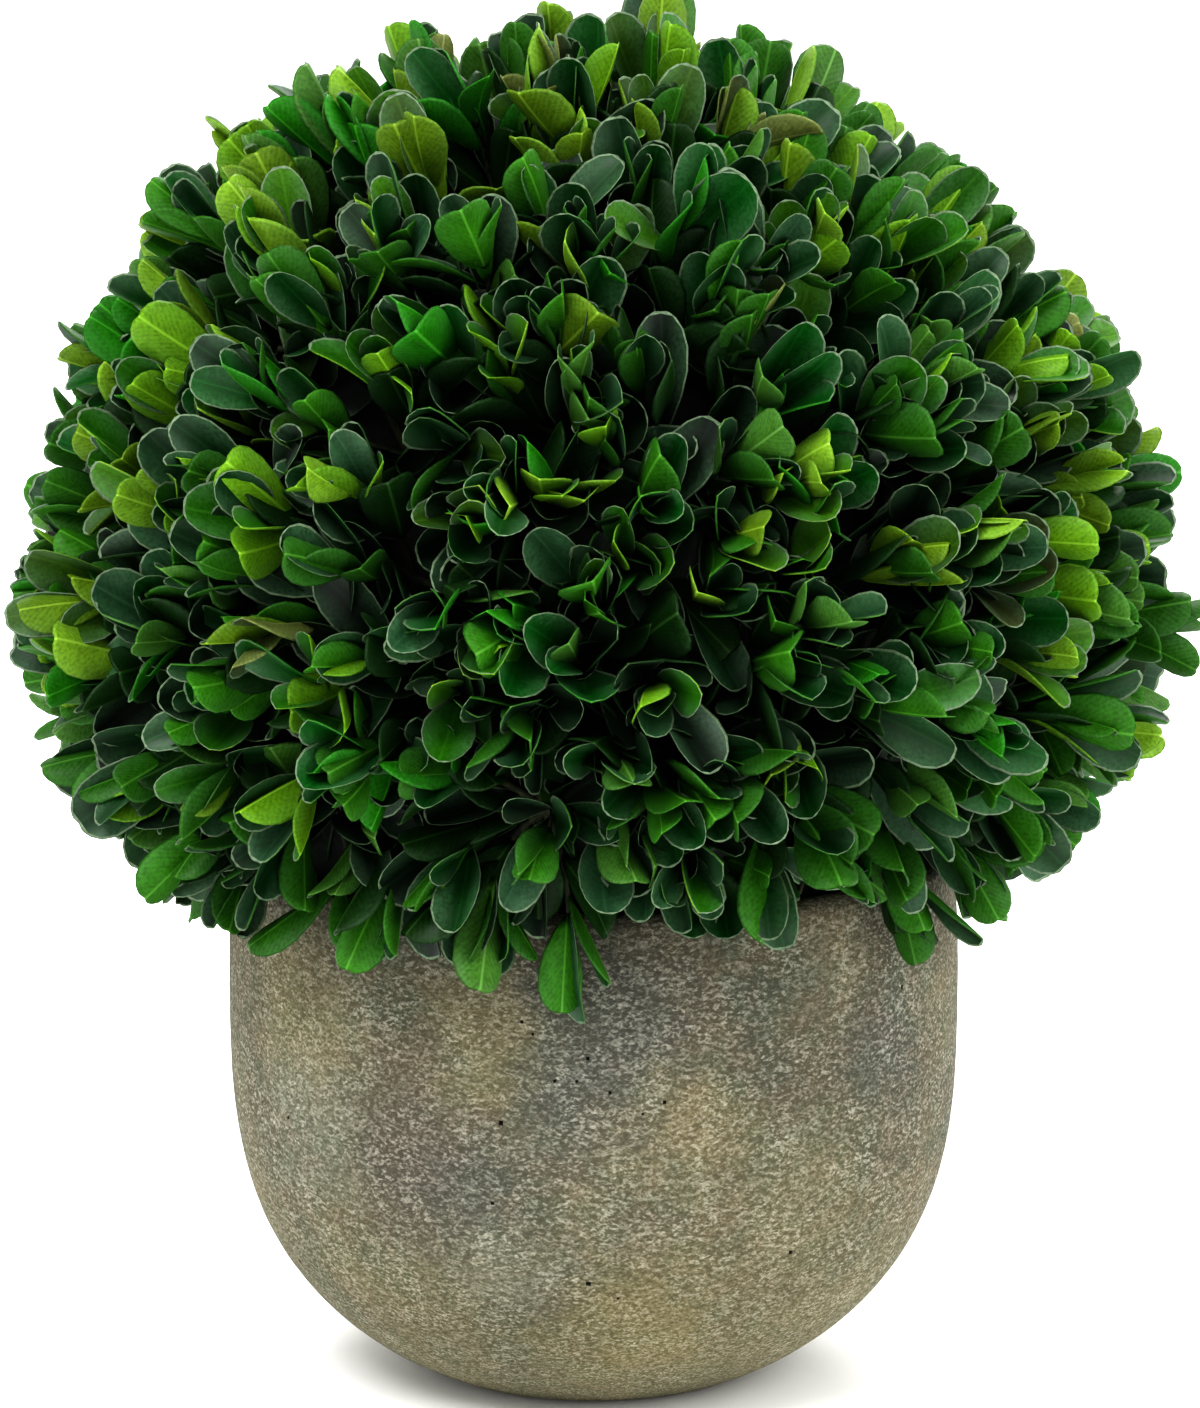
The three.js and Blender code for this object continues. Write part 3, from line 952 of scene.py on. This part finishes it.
# %% Leaf skin group
def leaf_skin_group():
    """A leaf's skin: a mottled tint with fine pores, a midrib, side veins and a painted sheen."""
    kinds = {"Tint": "Color", "Vein": "Color", "Vein Strength": "Float", "Painted Sheen": "Float"}
    group, given, result = new_group("leaf_skin", kinds)
    texture = group.nodes.new("ShaderNodeTexCoord").outputs
    spot = put(group, "ShaderNodeSeparateXYZ", {"Vector": texture["UV"]}).outputs
    from_midrib = computed(group, "ABSOLUTE", computed(group, "SUBTRACT", spot["X"], 0.5))
    mottle = grain(group, texture["Object"], 95, detail=3)
    slant = computed(group, "SUBTRACT", spot["Y"], computed(group, "MULTIPLY", from_midrib, 0.6))
    slant = computed(group, "ADD", slant, computed(group, "MULTIPLY", mottle, 0.12))
    rows = computed(group, "PINGPONG", computed(group, "MULTIPLY", slant, 15), 0.5)
    vein_mask = ramp(group, rows, (0.0, WHITE), (0.3, BLACK))
    midrib_mask = ramp(group, from_midrib, (0.012, WHITE), (0.035, BLACK))
    mask = computed(group, "MAXIMUM", computed(group, "MULTIPLY", vein_mask, 0.2), midrib_mask)
    mask = computed(group, "MULTIPLY", mask, given["Vein Strength"])
    shade = ramp(group, mottle, (0.32, (0.62, 0.66, 0.62, 1)), (0.68, WHITE))
    fine = grain(group, texture["Object"], 1500, detail=2)
    pores = ramp(group, fine, (0.35, (0.4, 0.4, 0.4, 1)), (0.6, WHITE))
    shade = mixed(group, 0.5, shade, pores, "MULTIPLY")
    shaded = mixed(group, 1.0, given["Tint"], shade, "MULTIPLY")
    # Painted sheen: a pale grey-green laid towards the margins, speckled by the fine noise.
    painted_sheen_mask = ramp(group, from_midrib, (0.1, BLACK), (0.5, WHITE))
    painted_sheen_mask = computed(group, "MULTIPLY", painted_sheen_mask, given["Painted Sheen"])
    painted_sheen_mask = computed(group, "MULTIPLY", painted_sheen_mask, computed(group, "MULTIPLY", fine, 2))
    with_painted_sheen = mixed(group, painted_sheen_mask, shaded, tone(110, 150, 114))
    group.links.new(mixed(group, mask, with_painted_sheen, given["Vein"]), result["Color"])
    group.links.new(computed(group, "MULTIPLY_ADD", fine, 0.3, 0.3), result["Roughness"])
    relief = computed(group, "ADD", computed(group, "MULTIPLY", fine, 0.3), mask)
    group.links.new(relief, result["Relief"])
    return group


leaf_skin = leaf_skin_group()


def leaf_finish(name, tint, vein, vein_strength, painted_sheen, sheen):
    """A leaf's finish in a tint and a vein colour."""
    material, tree, shader, _ = new_material(name)
    inputs = {"Tint": tint, "Vein": vein, "Vein Strength": vein_strength, "Painted Sheen": painted_sheen}
    skin = put(tree, "ShaderNodeGroup", inputs, node_tree=leaf_skin).outputs
    tree.links.new(skin["Color"], shader.inputs["Base Color"])
    tree.links.new(skin["Roughness"], shader.inputs["Roughness"])
    add_relief(tree, shader, skin["Relief"], 0.35, 0.1 * MM)
    shader.inputs["Specular IOR Level"].default_value = sheen
    return material


# The middle entry of each is a painted sheen, pale grey-green over the tint; the last is the shader's
# own specular level.
UPPER_SIDE = {"vein_strength": 0.3, "painted_sheen": 0.28, "sheen": 0.42}
UNDER_SIDE = {"vein_strength": 0.7, "painted_sheen": 0.1, "sheen": 0.2}
PLAIN_EDGE = {"vein_strength": 0.0, "painted_sheen": 0.0, "sheen": 0.3}
UPPER_VEIN = 26  # levels that a vein is lighter than its leaf
UNDER_VEIN = 32
leaf_margin = leaf_finish("leaf_margin", tone(128, 148, 120), tone(150, 160, 120), **PLAIN_EDGE)

# %% Tints, each dealt to a share of the sprays
Tint = namedtuple("Tint", "name share upper under")
TINTS = [
    # The first, dark tint is partly old leaves' own colour and partly painted shade, dealt deep in the
    # shoots and under the ball.
    Tint("old", 0, (2, 28, 8), (22, 56, 10)),
    Tint("deep", 0.22, (5, 52, 15), (50, 104, 22)),
    Tint("forest", 0.22, (5, 65, 13), (58, 120, 22)),
    # The sage tint's grey-green upper side is a painted sheen, as on leaves that catch the light.
    Tint("sage_painted_sheen", 0.14, (46, 85, 54), (76, 122, 46)),
    Tint("emerald", 0.10, (10, 88, 20), (44, 126, 18)),
    Tint("bright", 0.15, (50, 114, 12), (110, 157, 28)),
    Tint("olive", 0.06, (58, 93, 18), (110, 143, 30)),
    Tint("fresh", 0.10, (78, 131, 24), (130, 170, 48)),
    Tint("faded", 0.01, (76, 84, 50), (122, 130, 72)),
]
OLD_AND_SHADED_FROM = 2.15  # leaves from about the third pair down the shoot are old and dark, hanging ones sooner: partly old leaves' own colour, partly painted shade
OWN_TINT = 0.35  # how often a leaf departs from its spray's tint
PAINTED_SHADE_SKIRT = 0.55  # how far the hanging sprays keep to the first, darker tints: painted shade under the ball


def tint_of(leaf):
    """The tint dealt to a leaf: dark deep in its shoot and under the ball, partly old leaves' colour and
    partly painted shade; else its spray's or now and then its own.
    """
    own = leaf.shoot * 2 * LEAF_PAIRS + leaf.number
    # Depth in the shoot and hanging add up: the dark tint there is partly old leaves' colour, partly
    # painted shade.
    age_and_shade = leaf.level + leaf.hang + 0.5 * chance(own, 612)
    if age_and_shade > OLD_AND_SHADED_FROM:
        return TINTS[0]
    alone = chance(own, 610) > 1 - 2 * OWN_TINT
    # Hanging sprays draw the first, darker tints more often: painted shade under the ball.
    lot = (chance(own if alone else leaf.shoot, 611) + 1) / 2 * (1 - PAINTED_SHADE_SKIRT * leaf.hang)
    for tint in TINTS:
        lot -= tint.share
        if lot < 0:
            return tint
    return TINTS[1]


# %% [markdown]
# ## Sprays
#
# Thousands of separate leaf objects would be slow and would fill the outliner, so the leaves of one
# tint are joined, up to 1,500 in a mesh. Their corners are worked out as whole arrays and written in
# one go, which is far faster than adding them one at a time. A leaf that would cut into the bowl is
# skipped, as a gardener would trim it.


# %% Joining copies of a shape
def joined_mesh(name, parts, materials):
    """One mesh from many parts, each given by its moved corners and its shape."""
    points = np.concatenate([corners for corners, _ in parts])
    firsts = np.cumsum([0] + [len(corners) for corners, _ in parts[:-1]])
    loops = np.concatenate([shape.loops + first for first, (_, shape) in zip(firsts, parts)])
    sizes = np.concatenate([shape.sizes for _, shape in parts])
    mesh = bpy.data.meshes.new(name)
    mesh.vertices.add(len(points))
    mesh.vertices.foreach_set("co", points.astype(np.float32).ravel())
    mesh.loops.add(len(loops))
    mesh.loops.foreach_set("vertex_index", loops.astype(np.int32))
    mesh.polygons.add(len(sizes))
    mesh.polygons.foreach_set("loop_start", (np.cumsum(sizes) - sizes).astype(np.int32))
    mesh.polygons.foreach_set("material_index", np.concatenate([shape.slots for _, shape in parts]))
    spots = mesh.uv_layers.new(name="leaf_uv")
    spots.data.foreach_set("uv", np.concatenate([shape.spots for _, shape in parts]).ravel())
    for material in materials:
        mesh.materials.append(material)
    mesh.update(calc_edges=True)
    if mesh.validate():
        print(name, "had faces that had to be mended")
    return mesh


POT_CLEARANCE = 1.2 * MM
WALL_HEIGHTS = np.linspace(0, POT_HEIGHT, 200)
WALL_RADII = np.array([pot_radius_at(height) for height in WALL_HEIGHTS])


def clear_of_bowl(points):
    """Whether no point lies in the bowl or in its mouth."""
    radii = np.interp(points[:, 2], WALL_HEIGHTS, WALL_RADII) + POT_CLEARANCE
    low = points[:, 2] < POT_HEIGHT + POT_CLEARANCE
    return not np.any(low & (np.hypot(points[:, 0], points[:, 1]) < radii))


def placed_leaf(leaf):
    """A leaf's corners where it grows, and the form it has."""
    form = int((chance(leaf.shoot * 12 + leaf.number, 620) + 1) / 2 * len(leaf_shapes))
    shape = leaf_shapes[form]
    axes = np.array([leaf.along.cross(leaf.hollow)[:], leaf.along[:], leaf.hollow[:]])
    return shape.corners @ axes * leaf.length + np.array(leaf.root[:]), shape


# %% Twig piece
TWIG_RADIUS = 1.1 * MM
TWIG_ROWS = 6
TWIG_TAPER = 0.3
ROOT_DEPTH = 4  # mm inside the core


def twig_shape():
    """A twig of unit length and radius along +Z, five-sided, with rings to bend it at."""
    bm = bmesh.new()
    bmesh.ops.create_cone(bm, cap_ends=True, segments=5, radius1=1, radius2=0.5, depth=1)
    bmesh.ops.translate(bm, verts=bm.verts, vec=(0, 0, 0.5))
    sides = [edge for edge in bm.edges if abs(edge.verts[0].co.z - edge.verts[1].co.z) > 0.5]
    bmesh.ops.subdivide_edges(bm, edges=sides, cuts=TWIG_ROWS - 1, use_grid_fill=True)
    return shape_of(bm)


def placed_twig(shoot, shape):
    """The twig's corners bent along its shoot, from just inside the core to its tip."""
    points = []
    side = side_of(shoot)
    for x, y, share in shape.corners.tolist():
        point, direction = along_shoot(shoot, share)
        other = direction.cross(side).normalized()
        rooted = point - direction * ROOT_DEPTH * MM * (1 - share)
        thickness = TWIG_RADIUS * (1 - TWIG_TAPER * share)
        points.append((rooted + (side * x + other * y) * thickness)[:])
    return np.array(points)


bare_twig = twig_shape()
rooted_shoots = {}
for shoot in shoots:
    corners = placed_twig(shoot, bare_twig)
    if clear_of_bowl(corners):
        rooted_shoots[shoot.number] = corners
twig_parts = [(corners, bare_twig) for corners in rooted_shoots.values()]
twig_mesh = joined_mesh("box_twigs", twig_parts, [twig_bark])
add_piece("box_twigs", twig_mesh, "foliage_ball")

# %% Leaf pieces
LEAVES_IN_PIECE = 1500  # so that no piece grows too large for other programs
sprays = {tint.name: [] for tint in TINTS}
skipped = 0
for leaf in grown:
    corners, shape = placed_leaf(leaf)
    if leaf.shoot in rooted_shoots and clear_of_bowl(corners):
        sprays[tint_of(leaf).name].append((corners, shape))
    else:
        skipped += 1
for tint in TINTS:
    upper_vein = tone(*(level + UPPER_VEIN for level in tint.upper))
    under_vein = tone(*(level + UNDER_VEIN for level in tint.under))
    finishes = [
        leaf_finish(tint.name + "_upper", tone(*tint.upper), upper_vein, **UPPER_SIDE),
        leaf_finish(tint.name + "_under", tone(*tint.under), under_vein, **UNDER_SIDE),
        leaf_margin,
    ]
    spray = sprays[tint.name]
    for first in range(0, len(spray), LEAVES_IN_PIECE):
        name = f"box_leaves_{tint.name}_{1 + first // LEAVES_IN_PIECE}"
        leaf_mesh = joined_mesh(name, spray[first : first + LEAVES_IN_PIECE], finishes)
        add_piece(name, leaf_mesh, "foliage_ball")
print("leaves:", sum(len(spray) for spray in sprays.values()), "skipped:", skipped)

# %% [markdown]
# ## Floor and light
#
# The plant stands on a plain pale floor under an even white sky. Three soft lamps, the strongest at
# the front's left, a weaker one at its right and one behind, give each leaf a light and a dark side
# wherever it is seen from. The floor is a wide disc, so its edge stays out of every view.


# %% Floor
def pale_floor():
    """The floor, which belongs to the stage and not to the plant."""
    material, tree, shader, place = new_material("pale_floor")
    dust = mixed(tree, grain(tree, place, 40), tone(250, 250, 249), tone(252, 252, 251))
    tree.links.new(dust, shader.inputs["Base Color"])
    shader.inputs["Roughness"].default_value = 0.9
    bm = bmesh.new()
    bmesh.ops.create_circle(bm, cap_ends=True, segments=96, radius=20)
    floor = bpy.data.objects.new("floor", mesh_from(bm, "floor", material))
    bpy.context.scene.collection.objects.link(floor)


pale_floor()

# %% Lamps, sky and view
SKY_STRENGTH = 1.1
Lamp = namedtuple("Lamp", "name place size power")
LAMPS = [
    Lamp("key", (-0.8, -1.4, 2.0), 1.0, 26),
    Lamp("fill", (1.5, -0.9, 1.1), 1.4, 12),
    Lamp("back", (0.4, 1.8, 1.8), 1.2, 18),
]
for lamp in LAMPS:
    light = bpy.data.lights.new(lamp.name, "AREA")
    light.shape = "DISK"
    light.size = lamp.size
    light.energy = lamp.power
    lamp_object = bpy.data.objects.new(lamp.name, light)
    lamp_object.location = lamp.place
    aim = Vector(lamp.place) - Vector((0, 0, 0.14))
    lamp_object.rotation_euler = aim.to_track_quat("Z", "Y").to_euler()
    bpy.context.scene.collection.objects.link(lamp_object)

world = bpy.data.worlds.new("studio")
world.use_nodes = True
background = world.node_tree.nodes["Background"]
background.inputs["Color"].default_value = WHITE
background.inputs["Strength"].default_value = SKY_STRENGTH
bpy.context.scene.world = world
bpy.context.scene.view_settings.view_transform = "Standard"
bpy.context.scene.view_settings.look = "High Contrast"
